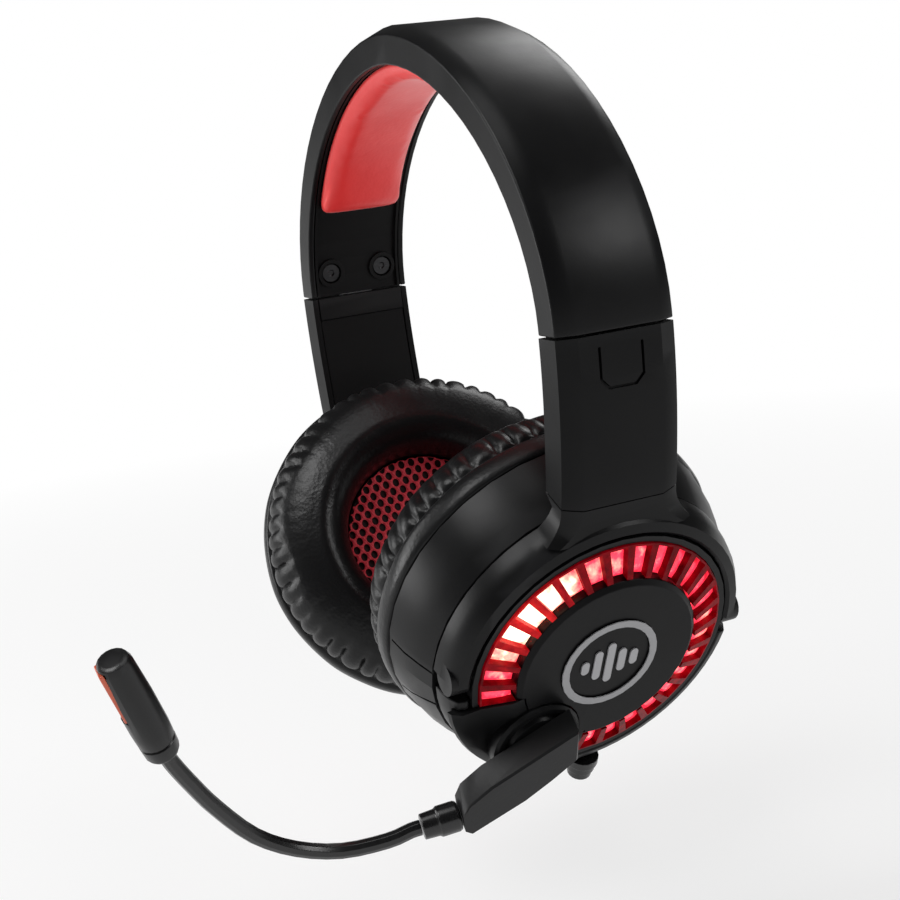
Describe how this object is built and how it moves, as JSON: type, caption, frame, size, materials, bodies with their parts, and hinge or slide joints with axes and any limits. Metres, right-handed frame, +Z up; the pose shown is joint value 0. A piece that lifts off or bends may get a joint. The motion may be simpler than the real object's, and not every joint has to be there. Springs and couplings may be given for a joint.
{
  "type": "gaming headset",
  "caption": "Over-ear gaming headset with sliding arms, swivelling yokes, tilting ear cups, light rings and a swinging boom microphone.",
  "frame": {"origin": "the point of the headband pad's underside that rests on the crown of the head", "axes": "+Z up, +X from the right ear to the left ear with the left cup at +X, -Y the way the wearer faces"},
  "size_m": [0.1726, 0.1796, 0.2099],
  "materials": {
    "black_satin": "satin moulded plastic",
    "black_matte": "fine-grained matt plastic",
    "black_rubber": "smooth soft rubber",
    "black_leatherette": "soft gathered leatherette over foam",
    "red_leatherette": "soft leatherette over foam",
    "red_mesh": "knitted acoustic mesh",
    "red_light": "clear red light guide",
    "orange_trim": "glossy strip",
    "grey_trim": "light grey satin plate",
    "steel": "bare steel",
    "board_green": "solder-masked board",
    "cone_paper": "pressed paper cone"
  },
  "bodies": {
    "headband": {"headband_outer_shell": "black_satin", "headband_inner_cover": "black_matte", "headband_pad": "red_leatherette", "headband_spring": "steel", "band_screw_left_front": "black_matte", "band_screw_left_rear": "black_matte", "band_end_cap_left": "black_matte", "band_screw_right_front": "black_matte", "band_screw_right_rear": "black_matte", "band_end_cap_right": "black_matte", "left_detent_spring": "steel", "right_detent_spring": "steel"},
    "left_arm": {"left_slider_rail": "steel", "left_arm_shell": "black_satin", "left_arm_cover": "black_matte", "left_swivel_bush": "black_matte"},
    "left_yoke": {"left_yoke": "black_satin", "left_pivot_pin_front": "steel", "left_pivot_pin_rear": "steel"},
    "left_cup": {"left_cup_shell": "black_satin", "left_rim_cover": "black_satin", "left_light_ring": "red_light", "left_light_grille": "red_light", "left_centre_cap": "black_satin", "left_badge_ring": "grey_trim", "left_led_board": "board_green", "left_baffle": "black_matte", "left_driver_basket": "steel", "left_driver_diaphragm": "cone_paper", "left_ear_pad": "black_leatherette", "left_pad_mesh": "red_mesh", "cable_gland": "black_rubber", "mic_hub": "black_satin"},
    "right_arm": {"right_slider_rail": "steel", "right_arm_shell": "black_satin", "right_arm_cover": "black_matte", "right_swivel_bush": "black_matte"},
    "right_yoke": {"right_yoke": "black_satin", "right_pivot_pin_front": "steel", "right_pivot_pin_rear": "steel"},
    "right_cup": {"right_cup_shell": "black_satin", "right_rim_cover": "black_satin", "right_light_ring": "red_light", "right_light_grille": "red_light", "right_centre_cap": "black_satin", "right_badge_ring": "grey_trim", "right_led_board": "board_green", "right_baffle": "black_matte", "right_driver_basket": "steel", "right_driver_diaphragm": "cone_paper", "right_ear_pad": "black_leatherette", "right_pad_mesh": "red_mesh"},
    "mic_boom": {"mic_arm_housing": "black_matte", "mic_pivot_screw": "steel", "mic_sleeve": "black_rubber", "mic_gooseneck": "black_rubber", "mic_capsule": "black_satin", "mic_window": "orange_trim", "mic_element": "steel"}
  },
  "joints": [
    {"name": "left_slide", "type": "slide", "parent": "headband", "child": "left_arm", "axis": [0.0698, 0, -0.9976], "range_m": [0, 0.018]},
    {"name": "left_swivel", "type": "hinge", "parent": "left_arm", "child": "left_yoke", "pos_m": [0.05509, 0, -0.14722], "axis": [0.4501, 0, 0.893], "range_deg": [-12, 12]},
    {"name": "left_tilt", "type": "hinge", "parent": "left_yoke", "child": "left_cup", "pos_m": [0.05804, 0, -0.14871], "axis": [0, -1, 0], "range_deg": [0, 28]},
    {"name": "mic_swing", "type": "hinge", "parent": "left_cup", "child": "mic_boom", "pos_m": [0.05251, -0.0183, -0.17078], "axis": [-0.893, 0, 0.4501], "range_deg": [-40, 65]},
    {"name": "right_slide", "type": "slide", "parent": "headband", "child": "right_arm", "axis": [-0.0698, 0, -0.9976], "range_m": [0, 0.018]},
    {"name": "right_swivel", "type": "hinge", "parent": "right_arm", "child": "right_yoke", "pos_m": [-0.05509, 0, -0.14722], "axis": [-0.4501, 0, 0.893], "range_deg": [-0.8, 23.2]},
    {"name": "right_tilt", "type": "hinge", "parent": "right_yoke", "child": "right_cup", "pos_m": [-0.05798, 0.00064, -0.14868], "axis": [0.1734, 0.981, 0.0874], "range_deg": [0, 28]}
  ]
}
